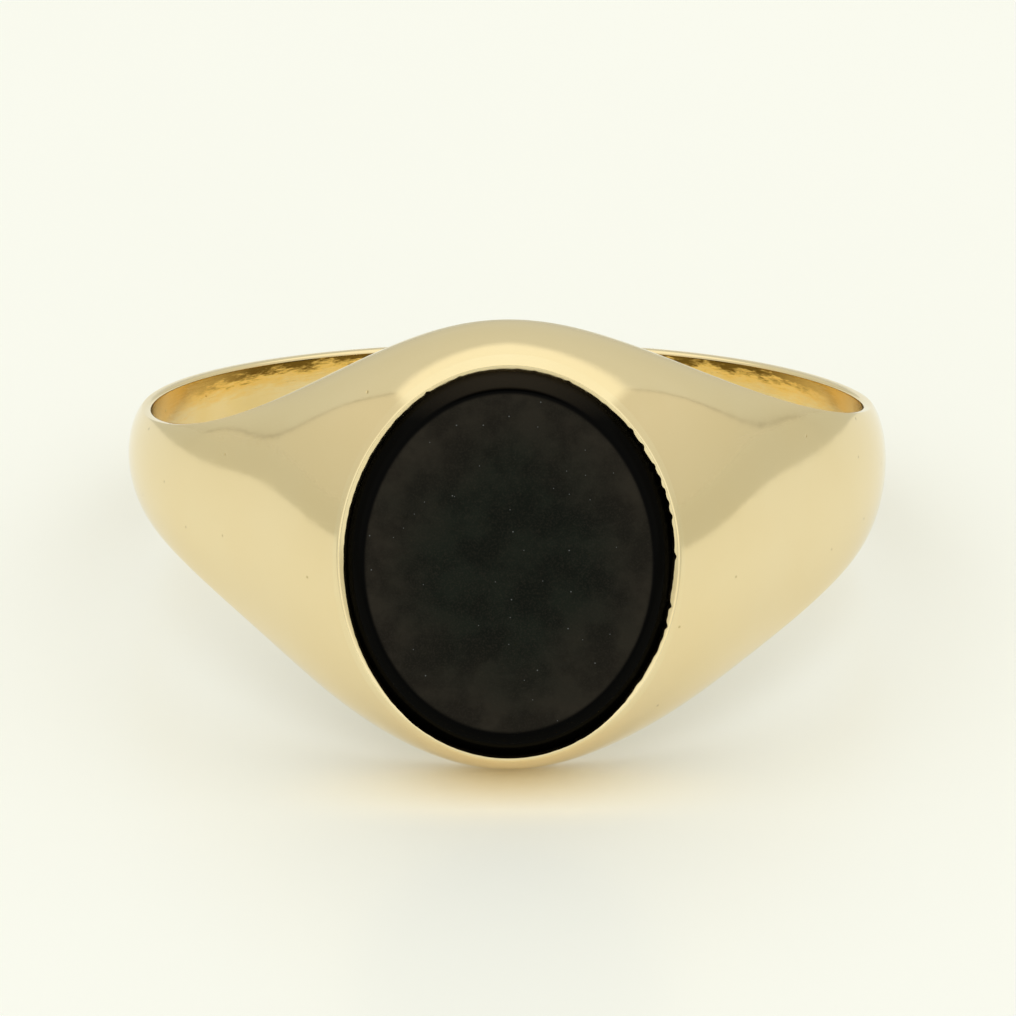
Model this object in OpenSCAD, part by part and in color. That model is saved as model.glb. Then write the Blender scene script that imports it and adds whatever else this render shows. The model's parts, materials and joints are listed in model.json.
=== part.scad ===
// Signet ring with a flat oval stone, lying on its side.
// The ring is drawn upright first: the finger axis along Z, the face towards -Y
// and the middle of the finger hole at the origin. Then it is tipped back until
// the head and the base of the shank rest on one level plane.
// Angles round the finger axis run from 0 at the middle of the face, through
// 90 at the right side of the shank, to 180 at its base. The left side is negative.

/* [Finger hole] */
// Diameter of the finger hole
bore_d = 19.8; // [19:0.1:20.6]

/* [Head] */
// Height of the rim above the finger hole
head_rise = 2.5; // [2.4:0.1:2.8]
// Length of the head along the finger, at the finger hole
head_length = 12.4; // [12.2:0.1:13.4]
// Width of the oval crest of the rim
rim_width = 9.2; // [9.2:0.05:9.4]
// Length of the oval crest of the rim
rim_length = 10.95; // [10.95:0.05:11.2]

/* [Shank] */
// Width of the shank at its base, along the finger
shank_width = 2; // [1.6:0.1:3]
// Thickness of the shank at its base
base_thickness = 0.92; // [0.7:0.01:1.4]
// Thickness of the shank at its two sides
side_thickness = 0.65; // [0.55:0.01:1.2]
// Width of the flat along both edges of the finger hole
edge_land = 0.26; // [0.2:0.01:0.4]

/* [Shoulders] */
// Angle that sets how slowly the shoulders narrow from the head
shoulder_spread = 77; // [70:1:85]
// How much wider than that the hand-finished right shoulder is, and narrower the left
spread_difference = 8; // [0:1:10]
// How far the left side of the shank stands off the middle line
left_lift = 0.25; // [0:0.05:0.5]
// Angle from the face at which the shoulders have run down into the shank
shoulder_end = 68; // [50:1:75]
// Roundness of the head's section: 2 is an ellipse, less leans towards a roof
head_roundness = 1.7; // [1.5:0.1:2]
// Roundness of the shank's section
shank_roundness = 1.3; // [1.2:0.1:2]

/* [Stone] */
// Width of the stone
stone_width = 9; // [8.9:0.05:9]
// Length of the stone
stone_length = 10.9; // [10.8:0.05:10.9]
// Thickness of the stone
stone_thickness = 1.5; // [1.3:0.1:1.5]
// Width of the stone's flat top
table_width = 7.85; // [7.4:0.05:8]
// Length of the stone's flat top
table_length = 9.5; // [9:0.05:9.6]
// Height of the bevel round the stone's flat top
bevel_height = 0.42; // [0.3:0.02:0.5]

/* [Setting] */
// Distance from the crest down to the ledge that the setting stands on
pocket_depth = 1.9; // [1.9:0.05:2]
// Distance from the stone's edge to the outside of the collet
collet_wall = 0.24; // [0.2:0.01:0.26]
// How far the collet's lip is rubbed over the stone at its sides
lip_overlap = 0.1; // [0.08:0.01:0.12]
// Width of the bearer strip under the stone's edge
bearer_width = 0.6; // [0.4:0.05:0.8]
// Thickness of the setting cement under the stone
cement_thickness = 0.06; // [0.04:0.01:0.1]
// Width of the ledge inside the bearer
ledge_width = 0.35; // [0.2:0.05:0.5]

/* [Hidden] */

gold = "#d8b56a";
worn_gold = "#e3c47c";
onyx = "#15140f";
cement = "#6b5330";

bore_r = bore_d / 2;
face_r = bore_r + head_rise;
head_half = head_length / 2;
shank_half = shank_width / 2;
rim_w = rim_width / 2;
rim_l = rim_length / 2;
stone_w = stone_width / 2;
stone_l = stone_length / 2;
rim_angle = atan(rim_w / face_r);
side_angle = 90;
base_angle = 180;

// Angle past the rim over which the section changes from the head's to the shank's
roundness_blend = 35;

// The tilt at which the lower edge of the head and the base of the shank
// touch the same plane.
rest_tilt = atan((head_half - shank_half) / (2 * bore_r + edge_land));

// Mesh steps
head_steps = 22;
shank_steps = 66;
section_steps = 9;
oval_steps = 72;
bore_steps = 180;
bevel_steps = 4;
// Half height of the flat strip left at mid section, so that no facet vanishes
mid_strip = 0.04;
// How far the skin reaches inside the finger hole before the hole is cut
skin_inset = 0.6;
// Play between the stone and the metal round it
play = 0.01;
// Depth at which the collet's outside meets the wall of the pocket
seam_depth = 0.25;
// How far the lip slopes down from the crest to its inner edge
lip_slope = 0.03;
// How sharply the shoulders narrow: the higher, the straighter their edges
shoulder_power = 3;
// How far a cutting tool runs past what it cuts
overrun = 1;

// Runs from 0 to 1 as t does, level and uncurved at both ends
function ease(t) = let (u = min(max(t, 0), 1)) u * u * u * (u * (6 * u - 15) + 10);

function half_width(phi) =
    let (spread = shoulder_spread + spread_difference * sin(phi))
    shank_half + (head_half - shank_half) / pow(1 + pow(phi / spread, 2), shoulder_power);

// Height of the section's middle: greatest at the left side, nothing at the right
function lift(phi) = left_lift * pow(sin(phi), 2) * (1 - sin(phi)) / 2;

// Square of the rim's height above the middle line, negative past the rim's side
function rim_height_squared(phi) =
    rim_l * rim_l * (1 - pow(face_r * tan(phi) / rim_w, 2));

// Height at which the section reaches the rim's crest, or 0 past its side
function crest_z(phi) = abs(phi) < rim_angle ? sqrt(max(0, rim_height_squared(phi))) : 0;

function roundness(phi) =
    head_roundness + (shank_roundness - head_roundness)
        * ease((abs(phi) - rim_angle) / roundness_blend);

// The section's outward bulge: 1 at mid height, 0 at the edges
function bulge(phi, w) = pow(max(0, 1 - w * w), 1 / roundness(phi));

// The wall thickness that makes each section of the head pass through the crest.
// It carries on smoothly past the rim, where rim_height_squared is negative.
function head_thickness(phi) =
    edge_land + (face_r / cos(phi) - bore_r - edge_land)
        / pow(1 - rim_height_squared(phi) / pow(half_width(phi), 2), 1 / head_roundness);

function shank_thickness(phi) =
    side_thickness + (base_thickness - side_thickness)
        * ease((abs(phi) - side_angle) / (base_angle - side_angle));

// Greatest thickness of the section, at mid height
function thickness(phi) =
    abs(phi) < shoulder_end
    ? let (t = ease((abs(phi) - rim_angle) / (shoulder_end - rim_angle)))
        head_thickness(phi) * (1 - t) + shank_thickness(phi) * t
    : shank_thickness(phi);

function skin_r(phi, w) = bore_r + edge_land + (thickness(phi) - edge_land) * bulge(phi, w);

function on_ring(phi, r, z) = [r * sin(phi), -r * cos(phi), z];

// The outside of the section from mid height to one edge, side 1 up or -1 down
function section_side(phi, side) =
    let (
        h = half_width(phi),
        start = asin(max(crest_z(phi) / h, mid_strip)))
    [for (i = [0:section_steps])
        let (w = sin(start + (90 - start) * i / section_steps))
        on_ring(phi, skin_r(phi, w), lift(phi) + side * h * w)];

function reversed(list) = [for (i = [len(list) - 1:-1:0]) list[i]];

function section(phi) =
    let (
        h = half_width(phi),
        inner_r = bore_r - skin_inset)
    concat(
        [on_ring(phi, inner_r, lift(phi) - h)],
        reversed(section_side(phi, -1)),
        section_side(phi, 1),
        [on_ring(phi, inner_r, lift(phi) + h)]);

// Angles of the sections: even steps along the rim's oval, then round the shank
function stations() = concat(
    [for (i = [0:head_steps])
        atan(rim_w * sin(180 * i / head_steps - 90) / face_r)],
    [for (i = [1:shank_steps - 1])
        let (phi = rim_angle + (360 - 2 * rim_angle) * i / shank_steps)
        phi > 180 ? phi - 360 : phi]);

// Faces that join one loop of points to another, each loop with count points
function band_faces(first, second, count) =
    [for (j = [0:count - 1])
        let (
            a = first * count + j,
            b = first * count + (j + 1) % count,
            c = second * count + (j + 1) % count,
            d = second * count + j)
        each [[a, c, d], [a, b, c]]];

// Faces of a row of loops that closes on itself
function closed_row(loops, count) =
    [for (i = [0:loops - 1]) each band_faces(i, (i + 1) % loops, count)];

// Faces of a row of loops with a flat cap at each end
function capped_row(loops, count) = concat(
    [for (i = [0:loops - 2]) each band_faces(i, i + 1, count)],
    [[for (j = [count - 1:-1:0]) j]],
    [[for (j = [0:count - 1]) (loops - 1) * count + j]]);

module skin() {
    sections = [for (phi = stations()) section(phi)];
    polyhedron(
        points = [for (s = sections) each s],
        faces = closed_row(len(sections), len(sections[0])));
}

// An oval of points in a plane parallel to the face. size is [half width,
// half length, depth below the crest].
function oval(size) =
    [for (i = [0:oval_steps - 1])
        let (a = 360 * i / oval_steps)
        [-size[0] * sin(a), size[2] - face_r, size[1] * cos(a)]];

// A ring that follows the oval. profile is its cross-section, as oval sizes that
// run down the outside and back up the inside.
module oval_ring(profile) {
    polyhedron(
        points = [for (size = profile) each oval(size)],
        faces = closed_row(len(profile), oval_steps));
}

// A solid tablet made of ovals, from the top one to the bottom one
module oval_tablet(layers) {
    polyhedron(
        points = [for (size = layers) each oval(size)],
        faces = capped_row(len(layers), oval_steps));
}

function grow(size, amount) = [size[0] + amount, size[1] + amount, size[2]];
function at_depth(size, depth) = [size[0], size[1], depth];

girdle = [stone_w, stone_l, bevel_height];
table = [table_width / 2, table_length / 2, 0];
pocket = grow(at_depth(girdle, pocket_depth), collet_wall);
window = grow(girdle, -bearer_width - ledge_width);

// How softly the bevel leaves the flat top: 1 would be a straight slope
bevel_softness = 1.6;
function bevel_layer(t) =
    let (edge = table + (girdle - table) * t)
    at_depth(edge, bevel_height * pow(t, bevel_softness));

// Tips the upright ring back into its resting position
module lying() {
    rotate([-rest_tilt, 0, 0]) children();
}

// Shank, shoulders and head in one piece, with a pocket for the setting and a
// window from the pocket into the finger hole
module ring_body() {
    color(gold)
    lying()
    difference() {
        skin();
        cylinder(r = bore_r, h = head_length + 2 * overrun, center = true, $fn = bore_steps);
        oval_tablet([at_depth(pocket, -overrun), pocket]);
        oval_tablet([at_depth(window, pocket_depth - overrun), at_depth(window, face_r)]);
    }
}

// A strip soldered into the pocket, its top edge rubbed over the stone until the
// lip's inner edge comes down almost to the bevel
module bezel_collet() {
    lip = bevel_layer(1 - lip_overlap / (stone_w - table[0]));
    inside = grow(girdle, play);
    color(worn_gold)
    lying()
    oval_ring([
        [rim_w, rim_l, 0],
        at_depth(pocket, seam_depth),
        pocket,
        at_depth(inside, pocket_depth),
        at_depth(inside, bevel_height),
        at_depth(lip, lip[2] - 2 * play),
        at_depth(lip, lip_slope)]);
}

// A narrow strip inside the foot of the collet, which carries the stone's edge
module stone_bearer() {
    outside = grow(girdle, -play);
    inside = grow(girdle, -bearer_width);
    top = stone_thickness + cement_thickness;
    color(gold)
    lying()
    oval_ring([
        at_depth(outside, top),
        at_depth(outside, pocket_depth),
        at_depth(inside, pocket_depth),
        at_depth(inside, top)]);
}

// The thin bed of cement between the bearer and the stone
module stone_cement() {
    outside = grow(girdle, -2 * play);
    inside = grow(girdle, -bearer_width + play);
    color(cement)
    lying()
    oval_ring([
        at_depth(outside, stone_thickness),
        at_depth(outside, stone_thickness + cement_thickness),
        at_depth(inside, stone_thickness + cement_thickness),
        at_depth(inside, stone_thickness)]);
}

// A flat tablet with a bevel round its top
module onyx_stone() {
    color(onyx)
    lying()
    oval_tablet(concat(
        [for (i = [0:bevel_steps]) bevel_layer(i / bevel_steps)],
        [at_depth(girdle, stone_thickness)]));
}

ring_body();
bezel_collet();
stone_bearer();
stone_cement();
onyx_stone();
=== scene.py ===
"""The looks of a signet ring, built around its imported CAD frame.

Shapes are worked out in millimetres with the ring upright: finger axis along Z, face
towards -Y, middle of the finger hole at the origin. They are then tipped back into the
resting position and scaled to metres. Angles round the finger axis (phi) are in radians,
0 at the middle of the face and positive on the right.
"""

import json
import math

import bpy
import numpy as np
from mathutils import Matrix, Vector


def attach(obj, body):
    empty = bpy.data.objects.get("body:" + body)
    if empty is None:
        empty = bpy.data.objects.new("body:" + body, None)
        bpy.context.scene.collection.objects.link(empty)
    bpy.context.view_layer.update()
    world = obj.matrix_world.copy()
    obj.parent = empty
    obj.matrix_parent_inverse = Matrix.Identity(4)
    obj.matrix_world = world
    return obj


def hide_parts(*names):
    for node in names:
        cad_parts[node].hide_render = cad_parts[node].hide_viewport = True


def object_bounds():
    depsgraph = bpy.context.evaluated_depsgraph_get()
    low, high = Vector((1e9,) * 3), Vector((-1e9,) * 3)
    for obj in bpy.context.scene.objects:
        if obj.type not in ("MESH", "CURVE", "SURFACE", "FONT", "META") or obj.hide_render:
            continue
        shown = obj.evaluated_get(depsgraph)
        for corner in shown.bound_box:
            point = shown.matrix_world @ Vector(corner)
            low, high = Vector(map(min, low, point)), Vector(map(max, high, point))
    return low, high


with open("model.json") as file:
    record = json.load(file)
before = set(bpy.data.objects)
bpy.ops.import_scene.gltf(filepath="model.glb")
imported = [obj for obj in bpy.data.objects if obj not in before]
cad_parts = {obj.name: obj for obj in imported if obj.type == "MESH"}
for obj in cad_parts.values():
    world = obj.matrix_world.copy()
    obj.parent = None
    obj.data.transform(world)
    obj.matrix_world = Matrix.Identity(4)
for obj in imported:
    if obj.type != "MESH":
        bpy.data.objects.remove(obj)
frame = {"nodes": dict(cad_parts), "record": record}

CAD_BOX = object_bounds()
MM = 0.001


# ---------------------------------------------------------------- sizes from the frame

hole = next(m for m in frame["record"]["mounts"] if m["name"] == "finger_hole")
BORE_R = hole["dims"]["r_mm"]
HEAD_HALF = hole["dims"]["length_mm"] / 2
TILT = math.atan2(hole["axis"][1], hole["axis"][2])


def tip_back(points):
    """Upright millimetres to the resting position in metres."""
    x, y, z = points[..., 0], points[..., 1], points[..., 2]
    lying_y = y * math.cos(TILT) + z * math.sin(TILT)
    lying_z = z * math.cos(TILT) - y * math.sin(TILT)
    return np.stack([x, lying_y, lying_z], axis=-1) * MM


def upright_box(node):
    """Lowest and highest corner of a CAD node in the upright frame, in millimetres."""
    mesh = frame["nodes"][node].data
    points = np.array([v.co for v in mesh.vertices], float) / MM
    y = points[:, 1] * math.cos(TILT) - points[:, 2] * math.sin(TILT)
    z = points[:, 1] * math.sin(TILT) + points[:, 2] * math.cos(TILT)
    upright = np.stack([points[:, 0], y, z], axis=-1)
    return upright.min(axis=0), upright.max(axis=0)


collet_low, collet_high = upright_box("bezel_collet")
stone_high = upright_box("onyx_stone")[1]
bearer_low = upright_box("stone_bearer")[0]

# Depths are measured inwards from the face. Ovals are given by their half sizes across and
# up the face.
FACE_R = -collet_low[1]
POCKET = np.array([collet_high[0], collet_high[2]])
POCKET_FLOOR = FACE_R + collet_high[1]
GIRDLE = np.array([stone_high[0], stone_high[2]])
STONE_FOOT = FACE_R + stone_high[1]
BEARER_TOP = FACE_R + bearer_low[1]

# The rest of the design, in millimetres, as the CAD part has it
CREST = np.array([4.6, 5.475])
TABLE = np.array([3.925, 4.75])
BEVEL_HEIGHT = 0.42
# How softly the bevel leaves the flat top: 1 would be a straight slope
BEVEL_SOFTNESS = 1.6
BEARER_WIDTH = 0.6
# How far the pocket's floor reaches inside the bearer, up to the window
LEDGE_WIDTH = 0.35
WINDOW = GIRDLE - (BEARER_WIDTH + LEDGE_WIDTH)
# Clearance between the pieces of the setting
PLAY = 0.01
# Half the shank's width, far from the head
SHANK_HALF = 1.0
SIDE_THICKNESS = 0.65
BASE_THICKNESS = 0.92
# Flat land between the skin and the edge of the finger hole
EDGE_LAND = 0.26
SHOULDER_SPREAD = math.radians(77)
SPREAD_DIFFERENCE = math.radians(8)
LEFT_LIFT = 0.25
SHOULDER_END = math.radians(68)
# The cross-section's power: 2 would be an ellipse, and less is flatter
HEAD_ROUNDNESS = 1.7
SHANK_ROUNDNESS = 1.3
ROUNDNESS_BLEND = math.radians(35)
RIM_ANGLE = math.atan(CREST[0] / FACE_R)
# Patterns on the surface are laid out in millimetres round a circle of this radius
PATTERN_R = BORE_R + 1


# ---------------------------------------------------------------- the skin of the ring

def ease(t):
    """0 to 1 with a soft start and end."""
    u = np.clip(t, 0, 1)
    return u ** 3 * (u * (6 * u - 15) + 10)


def half_width(phi):
    """Half the ring's width along the finger."""
    spread = SHOULDER_SPREAD + SPREAD_DIFFERENCE * np.sin(phi)
    return SHANK_HALF + (HEAD_HALF - SHANK_HALF) / (1 + (phi / spread) ** 2) ** 3


def lift(phi):
    """How far the middle of the ring's width sits above the face's middle."""
    return LEFT_LIFT * np.sin(phi) ** 2 * (1 - np.sin(phi)) / 2


def section_roundness(phi):
    """Power of the cross-section's curve."""
    t = ease((np.abs(phi) - RIM_ANGLE) / ROUNDNESS_BLEND)
    return HEAD_ROUNDNESS + (SHANK_ROUNDNESS - HEAD_ROUNDNESS) * t


def thickness(phi):
    """Thickness at mid height: in the head it brings each section through the crest."""
    turn = np.minimum(np.abs(phi), SHOULDER_END)
    rim_height_squared = CREST[1] ** 2 * (1 - (FACE_R * np.tan(turn) / CREST[0]) ** 2)
    share = (1 - rim_height_squared / half_width(phi) ** 2) ** (1 / HEAD_ROUNDNESS)
    head = EDGE_LAND + (FACE_R / np.cos(turn) - BORE_R - EDGE_LAND) / share
    shank = SIDE_THICKNESS + (BASE_THICKNESS - SIDE_THICKNESS) * ease(
        (np.abs(phi) - math.pi / 2) / (math.pi / 2))
    t = ease((np.abs(phi) - RIM_ANGLE) / (SHOULDER_END - RIM_ANGLE))
    return head * (1 - t) + shank * t


def wrapped(phi):
    """The same angle between -pi and pi."""
    return (phi + math.pi) % (2 * math.pi) - math.pi


def on_ring(phi, r, z):
    """Point at an angle, a radius and a height."""
    return np.stack([r * np.sin(phi), -r * np.cos(phi), z], axis=-1)


def skin_r(phi, w):
    """Radius of the outer skin; w runs from -1 at the lower edge to 1 at the upper."""
    bulge = np.maximum(1 - w ** 2, 0) ** (1 / section_roundness(phi))
    return BORE_R + EDGE_LAND + (thickness(phi) - EDGE_LAND) * bulge


def skin(phi, theta):
    """Point of the outer skin. theta runs from -pi/2 at the lower edge to pi/2 at the upper."""
    phi = wrapped(phi)
    w = np.sin(theta)
    return on_ring(phi, skin_r(phi, w), lift(phi) + half_width(phi) * w)


def skin_normal(phi, theta):
    """Outward direction of the skin, from small steps along it."""
    step = 1e-4
    top = math.pi / 2 - 2 * step
    theta = np.clip(theta, -top, top)
    along = skin(phi + step, theta) - skin(phi - step, theta)
    across = skin(phi, theta + step) - skin(phi, theta - step)
    normal = np.cross(along, across)
    return normal / np.linalg.norm(normal, axis=-1, keepdims=True)


SEARCH_ROUNDS = 60


def skin_under(x, z):
    """phi and theta of the skin point that lies at x and z on the face's side.

    The skin's radius depends on phi, so a few rounds close in on it.
    """
    phi = np.arctan2(x, FACE_R)
    for _ in range(SEARCH_ROUNDS):
        w = np.clip((z - lift(phi)) / half_width(phi), -1, 1)
        phi = np.arcsin(x / skin_r(phi, w))
    return phi, np.arcsin(w)


# ---------------------------------------------------------------- meshes

class Shell:
    """Grids of points that are welded into one mesh where they meet."""

    # Points that round to the same place, in millimetres, become one
    WELD = 1e-5
    SHARP_ANGLE = math.radians(35)

    def __init__(self):
        self.points = []
        self.corners = []
        self.uvs = []
        self.normals = []
        self.materials = []
        self.count = 0

    def grid(self, points, uv=None, normals=None, material=0, flip=False):
        """A sheet of quads over rows and columns of points.

        A step to the next row crossed with a step to the next column points outwards, or
        inwards if flip is set. Without normals, the mesh's own are used.
        """
        rows, cols = points.shape[:2]
        index = self.count + np.arange(rows * cols).reshape(rows, cols)
        quad = [index[:-1, :-1], index[1:, :-1], index[1:, 1:], index[:-1, 1:]]
        if flip:
            quad.reverse()
        self.corners.append(np.stack(quad, axis=-1).reshape(-1, 4))
        self.points.append(points.reshape(-1, 3))
        self.uvs.append(np.zeros((rows * cols, 2)) if uv is None else uv.reshape(-1, 2))
        if normals is None:
            normals = np.zeros(points.shape)
        self.normals.append(normals.reshape(-1, 3))
        self.materials.append(np.full(len(self.corners[-1]), material))
        self.count += rows * cols

    def build(self, name, materials):
        """Welds the grids, drops quads that have shrunk to a line, and makes the object."""
        points = np.concatenate(self.points)
        corners = np.concatenate(self.corners)
        uvs = np.concatenate(self.uvs)
        normals = np.concatenate(self.normals)
        slots = np.concatenate(self.materials)
        _, first, welded = np.unique(
            np.round(points / self.WELD), axis=0, return_index=True, return_inverse=True)
        faces, uv_rows, normal_rows, kept_slots = [], [], [], []
        for quad, slot in zip(corners, slots):
            ids = welded.ravel()[quad]
            keep = [i for i in range(4) if ids[i] != ids[i - 1]]
            if len(keep) > 2:
                faces.append([int(ids[i]) for i in keep])
                uv_rows.extend(uvs[quad[i]] for i in keep)
                normal_rows.extend(normals[quad[i]] for i in keep)
                kept_slots.append(int(slot))
        mesh = bpy.data.meshes.new(name)
        mesh.from_pydata(tip_back(points[first]).tolist(), [], faces)
        layer = mesh.uv_layers.new(name="surface_mm")
        layer.data.foreach_set("uv", np.array(uv_rows).ravel())
        mesh.polygons.foreach_set("material_index", kept_slots)
        for material in materials:
            mesh.materials.append(material)
        mesh.shade_smooth()
        mesh.set_sharp_from_angle(angle=self.SHARP_ANGLE)
        given = np.array(normal_rows)
        if np.any(given):
            corner_normals = np.zeros(len(mesh.loops) * 3, np.float32)
            mesh.corner_normals.foreach_get("vector", corner_normals)
            corner_normals = corner_normals.reshape(-1, 3)
            known = np.linalg.norm(given, axis=1) > 0.5
            corner_normals[known] = tip_back(given[known]) / MM
            mesh.normals_split_custom_set(corner_normals.tolist())
        mesh.validate()
        piece = bpy.data.objects.new(name, mesh)
        bpy.context.scene.collection.objects.link(piece)
        return piece


def lerp(a, b, t):
    """From a at t = 0 to b at t = 1."""
    return a + (b - a) * t


def columns(first, last, steps):
    """Steps between two lists of values, one row for each value."""
    t = np.linspace(0, 1, steps + 1)
    return first[:, None] * (1 - t) + last[:, None] * t


def oval(size, turn, depth):
    """Points of an oval round the face's middle; turn runs clockwise from the top."""
    x = size[0] * np.sin(turn)
    z = size[1] * np.cos(turn)
    return np.stack([x, np.broadcast_to(depth - FACE_R, x.shape), z], axis=-1)


def mm_uv(points):
    """Millimetres round the ring and along the finger, to lay patterns along the surface."""
    around = np.arctan2(points[..., 0], -points[..., 1]) * PATTERN_R
    return np.stack([around, points[..., 2]], axis=-1)


# ---------------------------------------------------------------- the ring body

# Border between the mesh of the head and that of the shank
HEAD_REACH = math.radians(44)
# Lines of the mesh along the head's border: top or bottom, and either side
TOP_LINES = 76
SIDE_LINES = 56
# Turn round the oval at which a line runs to the border's corner
CORNER_TURN = math.radians(42)
SHANK_STATIONS = 280
HEAD_RINGS = 22
BORE_RINGS = 14
# Rounding of the finger hole's edges
EDGE_RADIUS = 0.1
EDGE_STEPS = 5
# Steps up the walls: the window's, the pocket's floor and the pocket's
WINDOW_STEPS = 4
FLOOR_STEPS = 4
WALL_STEPS = 6


def round_the_head():
    """Lines that run out from the oval of the pocket to the border of the head.

    Returns their turns round the oval, and phi and theta where each meets the border.
    """
    quarter = math.pi / 2
    corners = [(-CORNER_TURN, -HEAD_REACH, quarter, TOP_LINES),
               (CORNER_TURN, HEAD_REACH, quarter, SIDE_LINES),
               (math.pi - CORNER_TURN, HEAD_REACH, -quarter, TOP_LINES),
               (math.pi + CORNER_TURN, -HEAD_REACH, -quarter, SIDE_LINES),
               (2 * math.pi - CORNER_TURN, -HEAD_REACH, quarter, 0)]
    parts = []
    for here, there in zip(corners, corners[1:]):
        t = np.arange(here[3])[:, None] / here[3]
        parts.append(lerp(np.array(here[:3]), np.array(there[:3]), t))
    lines = np.concatenate(parts + [np.array([corners[-1][:3]])])
    return lines[:, 0], lines[:, 1], lines[:, 2]


def edge_profile(phi, side):
    """The land and the rounded corner at one edge of the finger hole, for each phi."""
    angle = np.linspace(0, math.pi / 2, EDGE_STEPS + 1)
    r = np.concatenate([[BORE_R + EDGE_LAND, BORE_R + EDGE_LAND / 2 + EDGE_RADIUS / 2],
                        BORE_R + EDGE_RADIUS * (1 - np.sin(angle))])
    down = np.concatenate([[0, 0], EDGE_RADIUS * (1 - np.cos(angle))])
    z = (lift(phi) + side * half_width(phi))[:, None] - side * down[None, :]
    return on_ring(phi[:, None], np.broadcast_to(r, z.shape), z)


def bore_point(phi, share):
    """Point of the finger hole; share runs from 1 at the upper edge to -1 at the lower."""
    reach = half_width(phi) - EDGE_RADIUS
    return on_ring(phi, np.full_like(phi, BORE_R), lift(phi) + reach * share)


def bore_under(x, z):
    """phi and share of the finger hole's point behind x and z on the face's side."""
    phi = np.arcsin(x / BORE_R)
    return phi, (z - lift(phi)) / (half_width(phi) - EDGE_RADIUS)


def build_body(skin_gold, bore_gold):
    """Shank, shoulders and head in one closed skin, with the pocket and the window."""
    shell = Shell()

    def outside(phi, theta):
        points = skin(phi, theta)
        shell.grid(points, uv=mm_uv(points), normals=skin_normal(phi, theta))

    # Shank: from the right border of the head, round the back, to the left border
    stations = np.linspace(HEAD_REACH, 2 * math.pi - HEAD_REACH, SHANK_STATIONS + 1)
    height = np.linspace(-math.pi / 2, math.pi / 2, SIDE_LINES + 1)
    outside(*np.meshgrid(stations, height, indexing="ij"))
    phi = wrapped(stations)
    for side in (1, -1):
        edge = edge_profile(phi, side)
        shell.grid(edge, uv=mm_uv(edge), flip=side < 0)
    share = np.linspace(1, -1, SIDE_LINES + 1)
    bore = bore_point(*np.meshgrid(phi, share, indexing="ij"))
    shell.grid(bore, uv=mm_uv(bore), material=1)

    # Head: from the pocket's oval out to the border
    turn, border_phi, border_theta = round_the_head()
    edge_phi, edge_theta = skin_under(POCKET[0] * np.sin(turn), POCKET[1] * np.cos(turn))
    outside(columns(edge_phi, border_phi, HEAD_RINGS),
            columns(edge_theta, border_theta, HEAD_RINGS))
    top_phi = np.linspace(-HEAD_REACH, HEAD_REACH, TOP_LINES + 1)
    for side in (1, -1):
        edge = edge_profile(top_phi, side)
        shell.grid(edge, uv=mm_uv(edge), flip=side < 0)

    # Pocket for the setting, and the window from it into the finger hole
    rim = skin(edge_phi, edge_theta)
    floor_rim = oval(POCKET, turn, POCKET_FLOOR)
    window_rim = oval(WINDOW, turn, POCKET_FLOOR)
    window_phi, window_share = bore_under(WINDOW[0] * np.sin(turn), WINDOW[1] * np.cos(turn))
    hole_rim = bore_point(window_phi, window_share)
    for start, end, steps in ((hole_rim, window_rim, WINDOW_STEPS),
                              (window_rim, floor_rim, FLOOR_STEPS),
                              (floor_rim, rim, WALL_STEPS)):
        t = np.linspace(0, 1, steps + 1)[None, :, None]
        wall = start[:, None, :] * (1 - t) + end[:, None, :] * t
        shell.grid(wall, uv=mm_uv(wall), material=1)
    border_share = np.concatenate([
        np.full(TOP_LINES, 1.0), np.linspace(1, -1, SIDE_LINES, endpoint=False),
        np.full(TOP_LINES, -1.0), np.linspace(-1, 1, SIDE_LINES + 1)])
    bore = bore_point(columns(window_phi, border_phi, BORE_RINGS),
                      columns(window_share, border_share, BORE_RINGS))
    shell.grid(bore, uv=mm_uv(bore), material=1, flip=True)
    return shell.build("ring_body_skin", [skin_gold, bore_gold])


# ---------------------------------------------------------------- the setting

OVAL_LINES = 960
# How far the lip was rubbed over the stone, at turns in degrees clockwise from the top
LIP_TURNS = (0, 28, 44, 56, 68, 78, 90, 99, 113, 130, 150, 215, 232, 246, 262, 307, 330, 360)
LIP_WIDTHS = (0.085, 0.085, 0.05, 0.05, 0.03, 0.04, 0.06, 0.08, 0.04, 0.05,
              0.005, 0.005, 0.04, 0.055, 0.07, 0.07, 0.075, 0.085)
# Small notches in the lip's inner edge: turns in degrees and depths
NOTCHES = ((-17, 0.03), (9, 0.03), (21, 0.035), (47, 0.05), (53, 0.06), (60, 0.06), (64, 0.04),
           (68, 0.05), (72, 0.05), (76, 0.04), (88, 0.04), (103, 0.06), (109, 0.05), (331, 0.05))
NOTCH_HALF = math.radians(0.8)
LIP_LEAST = 0.004
# Marks of the work along the lip's inner edge: uneven waves, by their harmonics, and the
# small, even scallops that the pusher left
WORK_SEED = 11
WORK_HARMONICS = (7, 110)
WORK_DECAY = 0.2
WORK_DEPTH = 0.009
SCALLOPS = 122
SCALLOP_DEPTH = 0.004
# The marks are strongest at the upper right. The left side has only this share of them.
WORK_LEFT = 0.35
WORK_TURN = math.radians(40)
# How far the crest's rounding reaches to either side of it, at the sides and at the top,
# and the turn at which it has widened from the one to the other
CREST_REACH = 0.055
TOP_REACH = 0.02
TOP_TURN = math.radians(60)
# How steeply the lip falls inwards at the top and the sides, and at the bottom. The power
# keeps the flatter slope near the bottom.
SIDE_SLOPE = 0.7
BOTTOM_SLOPE = 0.15
BOTTOM_POWER = 3
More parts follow.
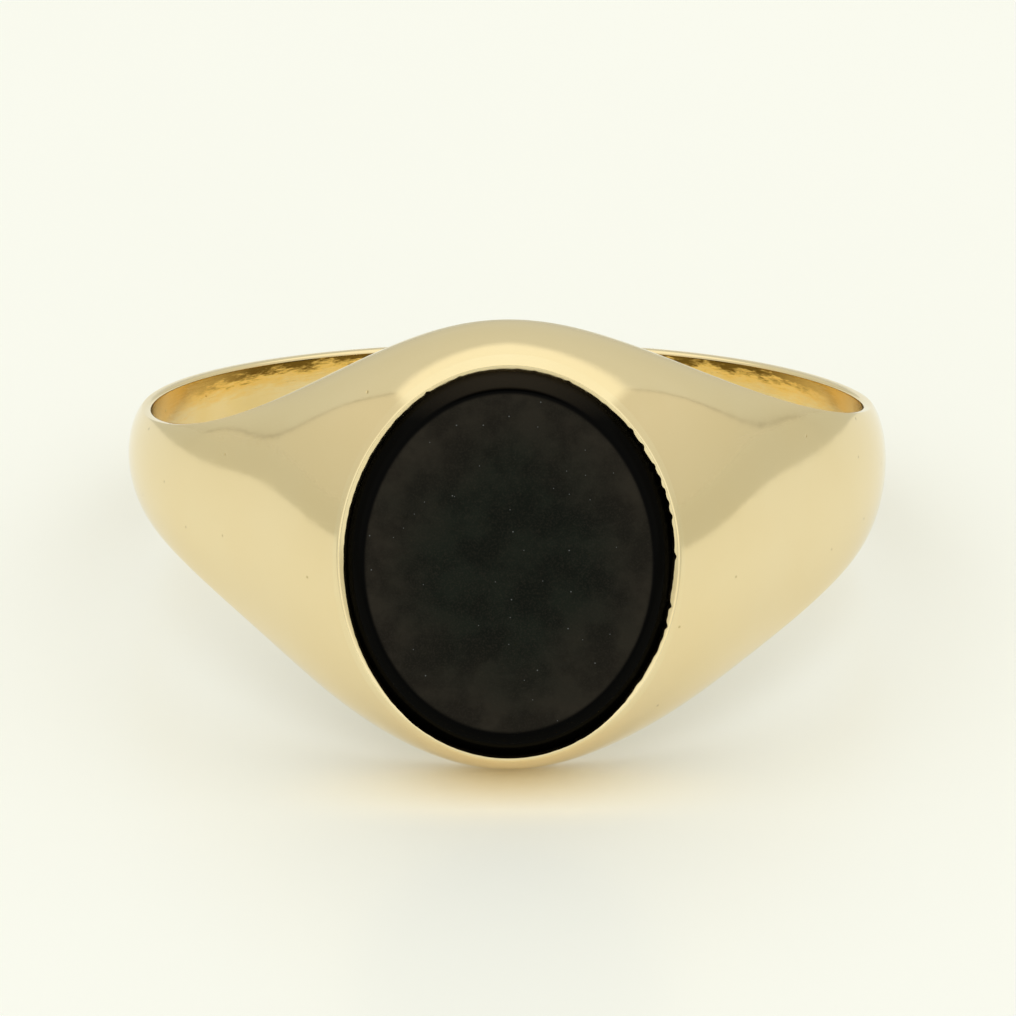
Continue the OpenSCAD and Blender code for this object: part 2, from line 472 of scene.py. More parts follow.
# Width of the lip's rounded inner edge: a base and a share of the lip's width, within limits
ROLL_BASE = 0.02
ROLL_SHARE = 1.2
ROLL_LIMITS = (0.025, 0.14)
# How far across its width the rounded edge keeps the lip's slope before it turns down
ROLL_FULLNESS = 0.8
# Steps of the mesh: from the seam to the crest, over the crest, along the lip, round its edge
BAND_STEPS = 6
CREST_STEPS = 5
LIP_SHARES = (0.33, 0.67, 1.0)
ROLL_STEPS = 7
BEVEL_SEARCH_ROUNDS = 30


def full_turn(lines=OVAL_LINES):
    """Turns from 0 to 2 pi, both included, so that a grid closes on itself."""
    return np.linspace(0, 2 * math.pi, lines + 1)


def waves(turn, seed, harmonics, decay):
    """A smooth, irregular wave round the oval, about -1 to 1.

    It is a sum of the harmonics from the first to the last, each weaker than the one before.
    """
    first, last = harmonics
    random = np.random.default_rng(seed)
    total = np.zeros_like(turn)
    norm = 0
    for k in range(first, last + 1):
        size = (first / k) ** decay
        total += size * np.sin(k * turn + random.uniform(0, 2 * math.pi))
        norm += size ** 2
    return total / math.sqrt(norm)


def bevel_depth(x, z):
    """Depth of the stone's bevel under points of the face.

    Halves the range of shares, from the table to the girdle, between which each point lies.
    """
    low, high = np.zeros_like(x), np.ones_like(x)
    for _ in range(BEVEL_SEARCH_ROUNDS):
        share = (low + high) / 2
        beyond = (x / lerp(TABLE[0], GIRDLE[0], share)) ** 2 \
            + (z / lerp(TABLE[1], GIRDLE[1], share)) ** 2 > 1
        low = np.where(beyond, share, low)
        high = np.where(beyond, high, share)
    return BEVEL_HEIGHT * share ** BEVEL_SOFTNESS


def curve(start, middle, end, steps):
    """Points of a smooth bend from start to end that heads for middle; start is left out."""
    points = []
    for t in np.linspace(0, 1, steps + 1)[1:]:
        points.append(lerp(lerp(start, middle, t), lerp(middle, end, t), t))
    return points


def build_collet(rim_gold):
    """The strip round the stone, from the seam over the crest and the lip to its foot."""
    shell = Shell()
    turn = full_turn()

    # The outside carries the body's skin on from the seam to the crest
    widening = ease((1 - np.cos(turn)) / (1 - math.cos(TOP_TURN)))
    reach = lerp(TOP_REACH, CREST_REACH, widening)
    band, band_normals = [], []
    for share in np.linspace(0, 1, BAND_STEPS + 1):
        size = lerp(POCKET[:, None], CREST[:, None] + reach, share)
        phi, theta = skin_under(size[0] * np.sin(turn), size[1] * np.cos(turn))
        band.append(skin(phi, theta))
        band_normals.append(skin_normal(phi, theta))
    band = np.stack(band, axis=1)
    shell.grid(band, uv=mm_uv(band), normals=np.stack(band_normals, axis=1), flip=True)

    # The lip, rubbed over in small steps that leave its inner edge scalloped. The rounding
    # follows the lip's smooth width, without its marks.
    width = np.interp(np.degrees(turn), LIP_TURNS, LIP_WIDTHS)
    roll = np.clip(ROLL_BASE + ROLL_SHARE * width, *ROLL_LIMITS)
    strength = lerp(WORK_LEFT, 1, (1 + np.sin(turn + WORK_TURN)) / 2)
    uneven = WORK_DEPTH * waves(turn, WORK_SEED, WORK_HARMONICS, WORK_DECAY)
    scallops = SCALLOP_DEPTH * np.abs(np.sin(SCALLOPS / 2 * turn))
    width = width + strength * (uneven + scallops)
    for at, depth in NOTCHES:
        away = wrapped(turn - math.radians(at)) / NOTCH_HALF
        width = width - depth * np.exp(-away ** 2)
    width = np.maximum(width, LIP_LEAST)
    slope = lerp(SIDE_SLOPE, BOTTOM_SLOPE, ((1 - np.cos(turn)) / 2) ** BOTTOM_POWER)
    edge = reach + width + roll
    inner = oval(CREST[:, None] - edge, turn, 0)
    landing = bevel_depth(inner[:, 0], inner[:, 2]) - 2 * PLAY

    def across(distance, depth):
        """A point of the cross-section at each turn: inwards from the crest, and down."""
        return np.stack([np.broadcast_to(distance, turn.shape),
                         np.broadcast_to(depth, turn.shape)])

    start = across(-reach, FACE_R + band[:, -1, 1])
    shoulder = across(reach, reach * slope)
    brink = across(reach + width, (reach + width) * slope)
    turning = reach + width + ROLL_FULLNESS * roll
    drop = across(turning, turning * slope)
    section = curve(start, across(0, 0), shoulder, CREST_STEPS)
    section += [lerp(shoulder, brink, t) for t in LIP_SHARES]
    section += curve(brink, drop, across(edge, landing), ROLL_STEPS)

    profile = [band[:, -1]]
    profile += [oval(CREST[:, None] - distance, turn, depth) for distance, depth in section]
    inside = GIRDLE + PLAY
    profile.append(oval(inside, turn, BEVEL_HEIGHT - 2 * PLAY))
    profile.append(oval(inside, turn, POCKET_FLOOR))
    profile.append(oval(POCKET, turn, POCKET_FLOOR))
    profile.append(band[:, 0])
    profile = np.stack(profile, axis=1)
    along = np.broadcast_to((turn * CREST.mean())[:, None], profile.shape[:2])
    from_middle = np.hypot(profile[..., 0], profile[..., 2])
    inward = from_middle - from_middle[:, :1]
    shell.grid(profile, uv=np.stack([along, inward], axis=-1), flip=True)
    return shell.build("bezel_rim", [rim_gold])


HIDDEN_LINES = 240
CORNER_STEPS = 4


def build_oval_ring(name, material, outer, inner, top, bottom, corner=0.03):
    """A flat ring under the stone with rounded corners.

    The profile goes round the section's four corners: the outer edge's top and bottom, then
    the inner edge's bottom and top.
    """
    shell = Shell()
    turn = full_turn(HIDDEN_LINES)
    angle = np.linspace(0, math.pi / 2, CORNER_STEPS + 1)
    profile = []
    for size, depth, start in ((outer, top, 0), (outer, bottom, 1),
                               (inner, bottom, 2), (inner, top, 3)):
        side = 1 if start in (0, 1) else -1
        level = 1 if start in (0, 3) else -1
        for a in angle:
            if start in (0, 2):
                across, down = 1 - math.sin(a), 1 - math.cos(a)
            else:
                across, down = 1 - math.cos(a), 1 - math.sin(a)
            profile.append(oval(size - side * corner * across, turn, depth + level * corner * down))
    profile.append(profile[0])
    profile = np.stack(profile, axis=1)
    shell.grid(profile, uv=mm_uv(profile))
    return shell.build(name, [material])


# Rings of the stone's mesh on its flat top and underside, as shares of their size
TOP_SHARES = (0.0, 0.25, 0.5, 0.75, 0.9, 0.97)
UNDERSIDE_SHARES = (0.8, 0.4, 0.0)
# Steps down the bevel, which are closer together near the flat top
BEVEL_STEPS = 24
BEVEL_CROWDING = 1.3
# A ring just under the bevel keeps the girdle's edge crisp
GIRDLE_LINE = 0.1
FOOT_ROUNDING = 0.12


def build_stone(onyx):
    """A flat tablet with a bevel whose upper edge is slightly softened."""
    shell = Shell()
    turn = full_turn()
    layers = [(TABLE * share, 0.0) for share in TOP_SHARES]
    bevel = GIRDLE - TABLE
    for t in np.linspace(0, 1, BEVEL_STEPS + 1) ** BEVEL_CROWDING:
        layers.append((TABLE + bevel * t, BEVEL_HEIGHT * t ** BEVEL_SOFTNESS))
    layers.append((GIRDLE, BEVEL_HEIGHT + GIRDLE_LINE))
    layers.append((GIRDLE, STONE_FOOT - FOOT_ROUNDING))
    layers.append((GIRDLE - FOOT_ROUNDING / 3, STONE_FOOT - FOOT_ROUNDING / 4))
    layers.append((GIRDLE - FOOT_ROUNDING, STONE_FOOT))
    layers.extend((GIRDLE * share, STONE_FOOT) for share in UNDERSIDE_SHARES)
    profile = np.stack([oval(size, turn, depth) for size, depth in layers], axis=1)
    uv = profile[..., [0, 2]]
    shell.grid(profile, uv=uv)
    return shell.build("onyx_tablet", [onyx])


# ---------------------------------------------------------------- materials

# Patterns are laid out in millimetres. A ramp's stops lie between 0 and 1, so what drives it
# is first brought into that range.

def new_material(name):
    """A material with an empty node tree."""
    material = bpy.data.materials.new(name)
    material.use_nodes = True
    material.node_tree.nodes.clear()
    return material, material.node_tree


def add(tree, kind, inputs=None, **settings):
    """A node with its settings; an input is a plain value or another node's output."""
    node = tree.nodes.new(kind)
    for key, value in settings.items():
        setattr(node, key, value)
    for key, value in (inputs or {}).items():
        if isinstance(value, bpy.types.NodeSocket):
            tree.links.new(value, node.inputs[key])
        else:
            node.inputs[key].default_value = value
    return node


def ramp(tree, factor, stops, interpolation="LINEAR"):
    """A colour ramp; each stop is a position and a grey level or a colour."""
    node = add(tree, "ShaderNodeValToRGB", {"Fac": factor})
    node.color_ramp.interpolation = interpolation
    elements = node.color_ramp.elements
    while len(elements) < len(stops):
        elements.new(0.5)
    for element, (position, value) in zip(elements, stops):
        element.position = position
        colour = (value, value, value) if np.isscalar(value) else value
        element.color = (*colour, 1)
    return node.outputs["Color"]


def maths(tree, operation, a, b=0.0, clamp=False):
    """The result of a math node; a and b are numbers or sockets."""
    node = add(tree, "ShaderNodeMath", {0: a, 1: b}, operation=operation, use_clamp=clamp)
    return node.outputs[0]


# Sockets of the mix node that work on colours
MIX_FACTOR = 0
MIX_A = 6
MIX_B = 7
MIX_RESULT = 2


def mixed(tree, factor, a, b, blend="MIX"):
    """Colour a turned into colour b by factor."""
    node = add(tree, "ShaderNodeMix", data_type="RGBA", blend_type=blend)
    for key, value in ((MIX_FACTOR, factor), (MIX_A, a), (MIX_B, b)):
        if isinstance(value, bpy.types.NodeSocket):
            tree.links.new(value, node.inputs[key])
        elif key == MIX_FACTOR:
            node.inputs[key].default_value = value
        else:
            node.inputs[key].default_value = (*value, 1)
    return node.outputs[MIX_RESULT]


def stretched(tree, vector, scale, angle=0.0, move=(0, 0, 0)):
    """A vector scaled, turned about Z and moved."""
    node = add(tree, "ShaderNodeMapping", {
        "Vector": vector, "Scale": scale, "Rotation": (0, 0, angle), "Location": move})
    return node.outputs["Vector"]


def noise(tree, vector, scale, detail=2.0, roughness=0.5):
    """Soft noise of 0 to 1, about 0.5 on average."""
    node = add(tree, "ShaderNodeTexNoise", {
        "Vector": vector, "Scale": scale, "Detail": detail, "Roughness": roughness})
    return node.outputs["Fac"]


# Share of a spot's radius that has its full strength
SPOT_CORE = 0.4


def spots(tree, vector, scale, radius, share):
    """Scattered round spots, 1 in their middles; share of the cells have one."""
    cells = add(tree, "ShaderNodeTexVoronoi", {"Vector": vector, "Scale": scale},
                feature="F1", voronoi_dimensions="2D")
    spot = ramp(tree, cells.outputs["Distance"], [(SPOT_CORE * radius, 1.0), (radius, 0.0)])
    chance = add(tree, "ShaderNodeSeparateColor", {"Color": cells.outputs["Color"]})
    chosen = maths(tree, "LESS_THAN", chance.outputs["Red"], share)
    return maths(tree, "MULTIPLY", spot, chosen)


def in_millimetres(tree):
    """Object coordinates in millimetres."""
    coords = add(tree, "ShaderNodeTexCoord")
    return stretched(tree, coords.outputs["Object"], (1 / MM, 1 / MM, 1 / MM))


def on_surface(tree):
    """The pattern coordinates that each mesh carries, in millimetres."""
    return add(tree, "ShaderNodeUVMap", uv_map="surface_mm").outputs["UV"]


def bumped(tree, height, distance):
    """The shading direction for a height pattern; distance is its depth in millimetres."""
    bump = add(tree, "ShaderNodeBump", {"Height": height, "Strength": 1.0,
                                        "Distance": distance * MM})
    return bump.outputs["Normal"]


def finish_material(tree, inputs):
    """Ends a material's tree in one shader with the given inputs."""
    shader = add(tree, "ShaderNodeBsdfPrincipled", inputs)
    output = add(tree, "ShaderNodeOutputMaterial")
    tree.links.new(shader.outputs["BSDF"], output.inputs["Surface"])


# Each gold has a main colour and the shade that its soft clouds turn it into
SKIN_GOLD = (0.84, 0.70, 0.425)
SKIN_SHADE = (0.835, 0.69, 0.41)
BORE_GOLD = (0.87, 0.69, 0.35)
BORE_SHADE = (0.85, 0.65, 0.28)
RIM_GOLD = (0.86, 0.735, 0.46)
RIM_SHADE = (0.84, 0.70, 0.42)
PIT_COLOUR = (0.45, 0.33, 0.13)
# Painted reflections inside the finger hole: a paler gold towards the face, a deeper gold where the
# gold reflects itself, and a dark brown where it reflects the shaded table
PAINTED_PALE_GOLD = (0.93, 0.81, 0.53)
PAINTED_DEEP_GOLD = (0.89, 0.57, 0.14)
PAINTED_DARK_BROWN = (0.17, 0.095, 0.014)

# Hairlines, seen along the surface: their direction in radians from the way round the ring,
# their pattern's scale along them, and a shift that sets each pattern apart
HAIRLINES = ((0.06, 0.5, 0.0), (-0.35, 0.8, 17.0), (1.2, 0.9, 41.0))
HAIRLINE_ROUGHNESS = 0.035
HAIRLINE_DEPTH = 0.06
GOLD_RELIEF = 0.004


def painted_reflections(tree, surface, colour):
    """Painted reflections inside the finger hole: paler gold towards the face, a painted deeper
    gold along the upper edge where the gold reflects itself, and painted brown streaks at the back
    where it reflects the shaded table.
    """
    split = add(tree, "ShaderNodeSeparateXYZ", {"Vector": surface})
    around, height = split.outputs["X"], split.outputs["Y"]
    streaks = noise(tree, stretched(tree, surface, (1.1, 6.0, 1), 0.12), 1.0, 6, 0.75)
    ragged = maths(tree, "ADD", maths(tree, "MULTIPLY", streaks, 1.3),
                   maths(tree, "SUBTRACT", height, 0.65))
    # How far round the ring: 0 at the middle of the face and 1 at the back
    share = maths(tree, "DIVIDE", maths(tree, "ABSOLUTE", around), math.pi * PATTERN_R)
    colour = mixed(tree, ramp(tree, share, [(0.52, 1.0), (0.62, 0.0)]), colour, PAINTED_PALE_GOLD)
    painted_deep = maths(tree, "MULTIPLY", ramp(tree, ragged, [(0.25, 0.0), (0.72, 1.0)]),
                 ramp(tree, share, [(0.52, 0.1), (0.66, 1.0)]))
    colour = mixed(tree, painted_deep, colour, PAINTED_DEEP_GOLD)
    back = ramp(tree, share, [(0.62, 0.0), (0.74, 1.0)])
    brown = maths(tree, "MULTIPLY", ramp(tree, ragged, [(0.72, 0.0), (0.9, 1.0)]), back)
    return mixed(tree, brown, colour, PAINTED_DARK_BROWN)


def gold_material(name, base, shade, smooth, rough, hair=1.0, inside=False):
    """Polished gold with fine hairlines along the metal, small pits and soft smears.

    smooth and rough are the least and the most roughness, and hair is the hairlines'
    strength. The inside of the ring also gets painted reflections and painted shade, and is left
    uneven by the hammer.
    """
    material, tree = new_material(name)
    place = in_millimetres(tree)
    surface = on_surface(tree)
    tone = noise(tree, place, 0.45, 3)
    colour = mixed(tree, ramp(tree, tone, [(0.35, 0.0), (0.65, 1.0)]), base, shade)

    hairlines = 0.0
    for angle, length, shift in HAIRLINES:
        drawn_out = stretched(tree, surface, (length, 16, 1), angle, (shift, shift, 0))
        lines = noise(tree, drawn_out, 1.0, 2)
        fine = ramp(tree, lines, [(0.66, 0.0), (0.74, 1.0)])
        hairlines = maths(tree, "ADD", hairlines, fine)
    smears = noise(tree, place, 1.1, 4, 0.6)
    roughness = ramp(tree, smears, [(0.3, smooth), (0.7, rough)])
    roughness = maths(tree, "ADD", roughness,
                      maths(tree, "MULTIPLY", hairlines, HAIRLINE_ROUGHNESS * hair))

    pits = spots(tree, surface, 0.55, 0.028, 0.35)
    colour = mixed(tree, maths(tree, "MULTIPLY", pits, 0.6), colour, PIT_COLOUR)

    height = maths(tree, "MULTIPLY", noise(tree, place, 2.2, 2), 0.35)
    height = maths(tree, "SUBTRACT", height,
                   maths(tree, "MULTIPLY", hairlines, HAIRLINE_DEPTH * hair))
    height = maths(tree, "SUBTRACT", height, maths(tree, "MULTIPLY", pits, 1.2))
    if inside:
        # Painted reflections and painted shade inside the finger hole
        colour = painted_reflections(tree, surface, colour)
        hammered = add(tree, "ShaderNodeTexVoronoi", {"Vector": place, "Scale": 1.5},
                       feature="SMOOTH_F1")
        height = maths(tree, "ADD", height, hammered.outputs["Distance"])
        grain = noise(tree, stretched(tree, surface, (1.2, 7, 1)), 1.0, 4, 0.65)
        height = maths(tree, "ADD", height, grain)
    finish_material(tree, {
        "Base Color": colour, "Metallic": 1.0, "Roughness": roughness,
        "Normal": bumped(tree, height, GOLD_RELIEF)})
    return material


# The onyx: the middle and the edge of its flat top, its darker bevel with a painted reflection of
# the bright top on its upper part, and what lies on it
TOP_MIDDLE = (0.009, 0.0115, 0.0082)
TOP_EDGE = (0.0225, 0.0192, 0.0145)
TOP_GRAIN = (0.024, 0.021, 0.016)
SPECK_COLOUR = (0.12, 0.125, 0.13)
BEVEL_BLACK = (0.0008, 0.0007, 0.0004)
BEVEL_PAINTED_SHEEN = (0.0225, 0.0178, 0.012)
BEVEL_LINE = (0.0004, 0.0004, 0.0003)
ONYX_RELIEF = 0.003
# Less than real onyx has, because the real value makes the bevel reflect too much here
ONYX_IOR = 1.11
# Taken off the distance from the stone's middle, where the edge of the flat top is 1, to
# bring the bevel into a ramp's range
RADIUS_SHIFT = 0.5


def onyx_material():
    """Black stone: a faintly cloudy flat top and a cleaner, darker bevel, lighter on its upper part
    with a painted reflection.
    """
    material, tree = new_material("polished_onyx")
    place = in_millimetres(tree)
    surface = on_surface(tree)
    split = add(tree, "ShaderNodeSeparateXYZ", {"Vector": surface})
    across = maths(tree, "DIVIDE", split.outputs["X"], float(TABLE[0]))
    along = maths(tree, "DIVIDE", split.outputs["Y"], float(TABLE[1]))
    squares = maths(tree, "ADD", maths(tree, "MULTIPLY", across, across),
                    maths(tree, "MULTIPLY", along, along))
    radius = maths(tree, "SQRT", squares)
    shifted = maths(tree, "SUBTRACT", radius, RADIUS_SHIFT)
    cloud = noise(tree, place, 0.55, 4, 0.6)
    clouding = maths(tree, "MULTIPLY", maths(tree, "SUBTRACT", cloud, 0.5), 0.6)
    edge = maths(tree, "ADD", radius, clouding)
    table_colour = mixed(tree, ramp(tree, edge, [(0.45, 0.0), (0.95, 1.0)]),
                         TOP_MIDDLE, TOP_EDGE)
    blotches = ramp(tree, noise(tree, place, 0.9, 3, 0.6), [(0.4, 0.55), (0.6, 1.0)])
    table_colour = mixed(tree, 1.0, table_colour, blotches, "MULTIPLY")
    grain = noise(tree, place, 20.0, 2)
    table_colour = mixed(tree, ramp(tree, grain, [(0.45, 0.0), (0.8, 0.6)]), table_colour,
                         TOP_GRAIN)
    larger = spots(tree, surface, 1.3, 0.03, 0.2)
    smaller = spots(tree, stretched(tree, surface, (1, 1, 1), 0.7), 2.1, 0.035, 0.15)
    specks = maths(tree, "ADD", larger, smaller, clamp=True)
    table_colour = mixed(tree, specks, table_colour, SPECK_COLOUR)
    # Painted reflection: the bevel's upper part is lighter, as if it reflected the bright top of
    # the tent
    upper = ramp(tree, maths(tree, "DIVIDE", split.outputs["Y"], float(GIRDLE[1])),
                 [(0.72, 0.0), (0.95, 1.0)])
    bevel_colour = mixed(tree, upper, BEVEL_BLACK, BEVEL_PAINTED_SHEEN)
    on_bevel = ramp(tree, shifted, [(0.465, 0.0), (0.525, 1.0)], "EASE")
    colour = mixed(tree, on_bevel, table_colour, bevel_colour)
    line = ramp(tree, shifted, [(0.478, 0.0), (0.498, 1.0), (0.512, 1.0), (0.53, 0.0)], "EASE")
    colour = mixed(tree, line, colour, BEVEL_LINE)

    scratch = noise(tree, stretched(tree, surface, (0.35, 14, 1), 0.9), 1.0, 2)
    scratch = ramp(tree, scratch, [(0.7, 0.0), (0.78, 1.0)])
    roughness = maths(tree, "ADD", ramp(tree, cloud, [(0.3, 0.1), (0.7, 0.17)]),
                      maths(tree, "MULTIPLY", scratch, 0.1))
    height = maths(tree, "SUBTRACT", maths(tree, "MULTIPLY", cloud, 0.3),
                   maths(tree, "MULTIPLY", scratch, 0.25))
    finish_material(tree, {
        "Base Color": colour, "Roughness": roughness, "IOR": ONYX_IOR,
        "Normal": bumped(tree, height, ONYX_RELIEF)})
    return material


CEMENT_DARK = (0.1, 0.06, 0.025)
CEMENT_LIGHT = (0.2, 0.13, 0.06)
CEMENT_RELIEF = 0.03


def cement_material():
    """Lumpy brown cement, hidden under the stone."""
    material, tree = new_material("aged_cement")
    place = in_millimetres(tree)
    lumps = noise(tree, place, 6.0, 5, 0.7)
    colour = mixed(tree, ramp(tree, lumps, [(0.35, 0.0), (0.7, 1.0)]),
                   CEMENT_DARK, CEMENT_LIGHT)
    finish_material(tree, {
        "Base Color": colour, "Roughness": ramp(tree, lumps, [(0.3, 0.6), (0.7, 0.9)]),
        "Normal": bumped(tree, lumps, CEMENT_RELIEF)})
    return material


# A painted warm glow on the table, standing in for the light that the gold throws there: where it
# lies, in millimetres, and how far it spreads
GLOW_MIDDLE = -12.6
GLOW_WIDTH = 7.5
GLOW_DEPTH = 2.4
GLOW_STRENGTH = 0.15
GLOW_COLOUR = (1.0, 0.65, 0.09, 1.0)
# Where painted shade greys the white paper as the tent's light ends, as distances in
# millimetres from a point left of the ring's middle. They are divided by the ramp's span to fit
# between 0 and 1.
PAPER_MIDDLE = -5.0
PAINTED_SHADE_REACH = (43.5, 46.5)
RAMP_SPAN = 100.0
PAPER_WHITE = (0.925, 0.932, 0.912)
PAPER_BRIGHT = (0.942, 0.95, 0.932)
PAPER_PAINTED_SHADE = (0.63, 0.635, 0.595)


def painted_warm_glow(tree, place):
    """Strength of the painted glow that stands in for the warm light the underside of the head
    throws on the table.
    """
    scaled = stretched(tree, place, (1 / GLOW_WIDTH, 1 / GLOW_DEPTH, 0), 0,
                       (0, -GLOW_MIDDLE / GLOW_DEPTH, 0))
    reach = add(tree, "ShaderNodeVectorMath", {0: scaled}, operation="LENGTH").outputs["Value"]
    spread = ramp(tree, reach, [(0.0, 1.0), (1.0, 0.0)], "EASE")
    return maths(tree, "MULTIPLY", spread, GLOW_STRENGTH)


def floor_material():
    """White paper, greyed softly by painted shade where the light of the tent ends, with a painted
    warm glow under the head.
    """
    material, tree = new_material("pale_table")
    place = in_millimetres(tree)
    mottle = noise(tree, place, 0.02, 4, 0.6)
    paper = mixed(tree, ramp(tree, mottle, [(0.3, 0.0), (0.7, 1.0)]), PAPER_WHITE, PAPER_BRIGHT)
    middle = stretched(tree, place, (1, 1, 1), 0, (-PAPER_MIDDLE, 0, 0))
    distance = add(tree, "ShaderNodeVectorMath", {0: middle}, operation="LENGTH").outputs["Value"]
    near_edge, far_edge = (edge / RAMP_SPAN for edge in PAINTED_SHADE_REACH)
    # Painted shade: the paper greys far from the ring, where the tent's light ends
    far = ramp(tree, maths(tree, "DIVIDE", distance, RAMP_SPAN),
               [(near_edge, 0.0), (far_edge, 1.0)], "EASE")
    # The paper's emission is a painted warm glow that stands in for the gold's reflected light
    # under the head
    finish_material(tree, {
        "Base Color": mixed(tree, far, paper, PAPER_PAINTED_SHADE), "Roughness": 0.3, "IOR": 1.4,
        "Emission Color": GLOW_COLOUR, "Emission Strength": painted_warm_glow(tree, place)})
    return material


# ---------------------------------------------------------------- the studio

# Half the table's width, in metres
FLOOR_HALF = 2.0


def build_floor():
    """A wide, plain table that the ring rests on."""
    level = CAD_BOX[0].z
    half = FLOOR_HALF
    mesh = bpy.data.meshes.new("floor")
    mesh.from_pydata([(-half, -half, level), (half, -half, level), (half, half, level),
                      (-half, half, level)], [], [(0, 1, 2, 3)])
    mesh.materials.append(floor_material())
    floor = bpy.data.objects.new("floor", mesh)
    bpy.context.scene.collection.objects.link(floor)


CAMERA_ELEVATION = math.radians(27.96)
CAMERA_AZIMUTH = math.radians(-0.205)
CAMERA_DISTANCE = 0.34
CAMERA_LENS = 432
# What the camera looks at, in metres from the middle of the finger hole, across and up the
# picture
AIM_RIGHT = 0.000023
AIM_UP = -0.001377
TOWARD_CAMERA = np.array([math.sin(CAMERA_AZIMUTH) * math.cos(CAMERA_ELEVATION),
                          -math.cos(CAMERA_AZIMUTH) * math.cos(CAMERA_ELEVATION),
                          math.sin(CAMERA_ELEVATION)])

# The light tent round the ring, in millimetres from the middle of the finger hole
TENT_SIDE = 46.0
TENT_BACK = 28.7
TENT_FRONT = 60.0
TENT_TOP = 26.8
# How much lower the bright top reaches in the back corners than mid way, as a share
CORNER_DROOP = 0.32
# Brightness of the tent's parts. The first of two colours is at the walls' foot.
SIDE_WALL = ((0.73, 0.72, 0.62), (0.82, 0.80, 0.70))
BACK_WALL = ((0.66, 0.66, 0.58), (0.73, 0.74, 0.67), (0.79, 0.80, 0.74))
FRONT_WALL = (1.1, 1.1, 1.01)
BRIGHT_TOP = (1.17, 1.17, 1.07)
LENS_DARK = (0.15, 0.15, 0.14)


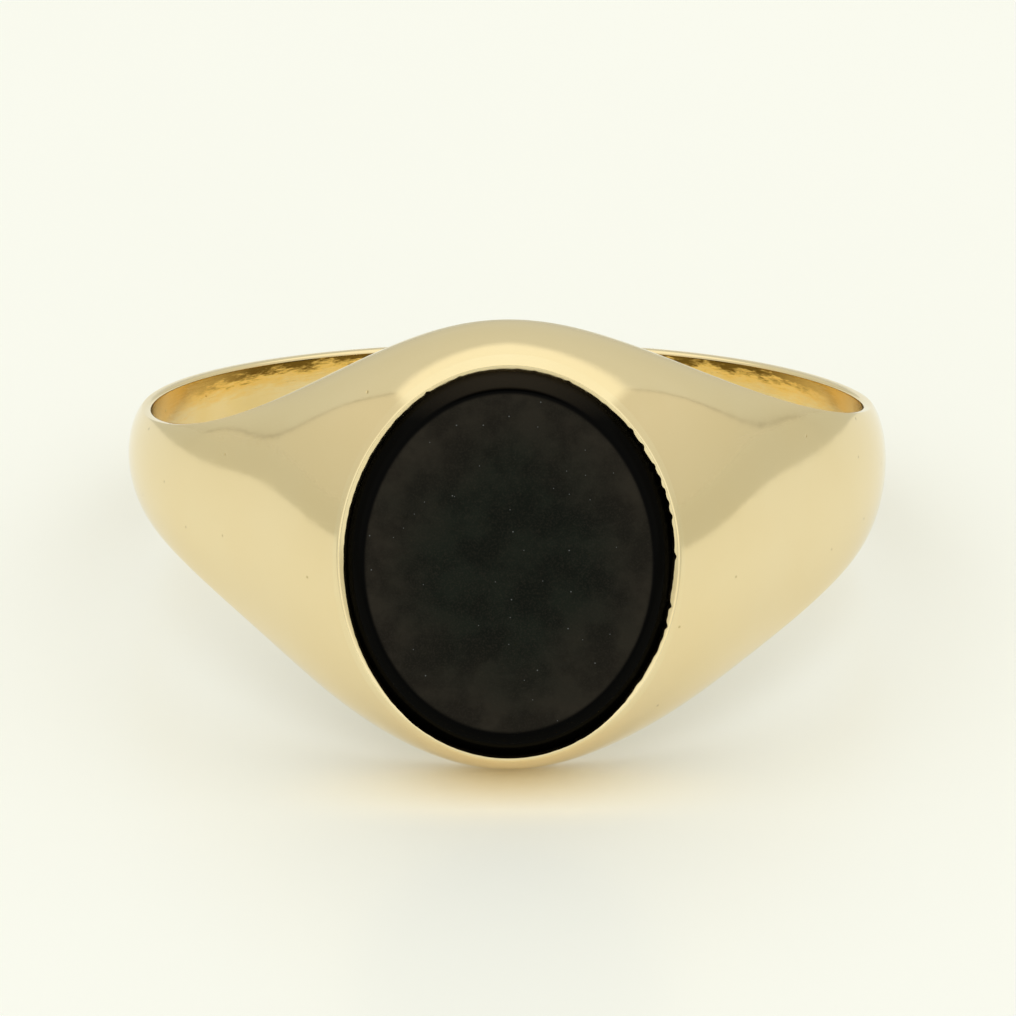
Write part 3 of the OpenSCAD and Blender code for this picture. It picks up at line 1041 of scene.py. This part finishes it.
def build_light():
    """Soft light from a small white tent: a bright top, greyer walls and thin corner seams.

    For each direction, the walls' distances give the wall that it meets and how high, as a
    share of the tent's height. turn_back is 0 at a back corner and 1 mid way along the back.
    """
    world = bpy.data.worlds.new("light_tent")
    bpy.context.scene.world = world
    world.use_nodes = True
    tree = world.node_tree
    tree.nodes.clear()
    direction = add(tree, "ShaderNodeTexCoord").outputs["Generated"]
    split = add(tree, "ShaderNodeSeparateXYZ", {"Vector": direction})
    x, y, up = split.outputs["X"], split.outputs["Y"], split.outputs["Z"]
    side = maths(tree, "DIVIDE", maths(tree, "ABSOLUTE", x), TENT_SIDE)
    back = maths(tree, "DIVIDE", y, TENT_BACK)
    front = maths(tree, "DIVIDE", y, -TENT_FRONT)
    nearest = maths(tree, "MAXIMUM", side, maths(tree, "MAXIMUM", back, front))
    height = maths(tree, "DIVIDE", maths(tree, "DIVIDE", up, nearest), TENT_TOP)
    turn_back = maths(tree, "DIVIDE", maths(tree, "SUBTRACT", back, side), nearest)

    side_wall = ramp(tree, height, list(zip((0.0, 0.8), SIDE_WALL)))
    back_wall = ramp(tree, height, list(zip((0.0, 0.25, 0.8), BACK_WALL)))
    walls = mixed(tree, ramp(tree, turn_back, [(0.0, 0.0), (0.04, 1.0)]), side_wall, back_wall)
    facing = maths(tree, "MULTIPLY", y, -1.0)
    walls = mixed(tree, ramp(tree, facing, [(0.5, 0.0), (0.72, 1.0)], "EASE"), walls, FRONT_WALL)
    off_seam = maths(tree, "ABSOLUTE", turn_back)
    seam = ramp(tree, off_seam, [(0.0, 0.5), (0.008, 0.6), (0.018, 1.0)])
    walls = mixed(tree, 1.0, walls, seam, "MULTIPLY")
    toward_corner = ramp(tree, turn_back, [(0.0, CORNER_DROOP), (1.0, 0.0)])
    height = maths(tree, "SUBTRACT", height, toward_corner)
    colour = mixed(tree, ramp(tree, height, [(0.86, 0.0), (1.0, 1.0)]), walls, BRIGHT_TOP)
    lens = add(tree, "ShaderNodeVectorMath", {0: direction, 1: tuple(TOWARD_CAMERA)},
               operation="DOT_PRODUCT").outputs["Value"]
    colour = mixed(tree, ramp(tree, lens, [(0.965, 0.0), (0.99, 1.0)], "EASE"), colour,
                   LENS_DARK)
    background = add(tree, "ShaderNodeBackground", {"Color": colour, "Strength": 1.0})
    output = add(tree, "ShaderNodeOutputWorld")
    tree.links.new(background.outputs["Background"], output.inputs["Surface"])


def build_camera():
    """A long lens that looks down at the ring at the photograph's angle."""
    data = bpy.data.cameras.new("camera")
    data.lens = CAMERA_LENS
    data.sensor_width = 36
    data.clip_start = 0.01
    camera = bpy.data.objects.new("camera", data)
    bpy.context.scene.collection.objects.link(camera)
    right = np.array([math.cos(CAMERA_AZIMUTH), math.sin(CAMERA_AZIMUTH), 0])
    up = np.cross(TOWARD_CAMERA, right)
    aim = right * AIM_RIGHT + up * AIM_UP
    camera.location = aim + TOWARD_CAMERA * CAMERA_DISTANCE
    camera.rotation_euler = (math.pi / 2 - CAMERA_ELEVATION, 0, CAMERA_AZIMUTH)
    bpy.context.scene.camera = camera


# ---------------------------------------------------------------- the scene

def stands_for(piece, node):
    """The piece stands for a CAD node, which is hidden, and is attached to the root body."""
    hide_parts(node)
    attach(piece, "root")


bpy.context.scene.view_settings.view_transform = "Standard"
build_camera()
build_light()
build_floor()

skin_gold = gold_material("polished_gold", SKIN_GOLD, SKIN_SHADE, 0.075, 0.115)
bore_gold = gold_material("bore_gold", BORE_GOLD, BORE_SHADE, 0.1, 0.18, hair=2.0, inside=True)
rim_gold = gold_material("burnished_gold", RIM_GOLD, RIM_SHADE, 0.1, 0.16, hair=1.5)
cement = cement_material()

body = build_body(skin_gold, bore_gold)
collet = build_collet(rim_gold)
stone = build_stone(onyx_material())
bearer = build_oval_ring("bearer_strip", bore_gold, GIRDLE - PLAY, GIRDLE - BEARER_WIDTH,
                         BEARER_TOP, POCKET_FLOOR)
bed = build_oval_ring("cement_bed", cement, GIRDLE - 2 * PLAY, GIRDLE - BEARER_WIDTH + PLAY,
                      STONE_FOOT, BEARER_TOP, corner=0.02)

stands_for(body, "ring_body")
stands_for(collet, "bezel_collet")
stands_for(stone, "onyx_stone")
stands_for(bearer, "stone_bearer")
stands_for(bed, "stone_cement")
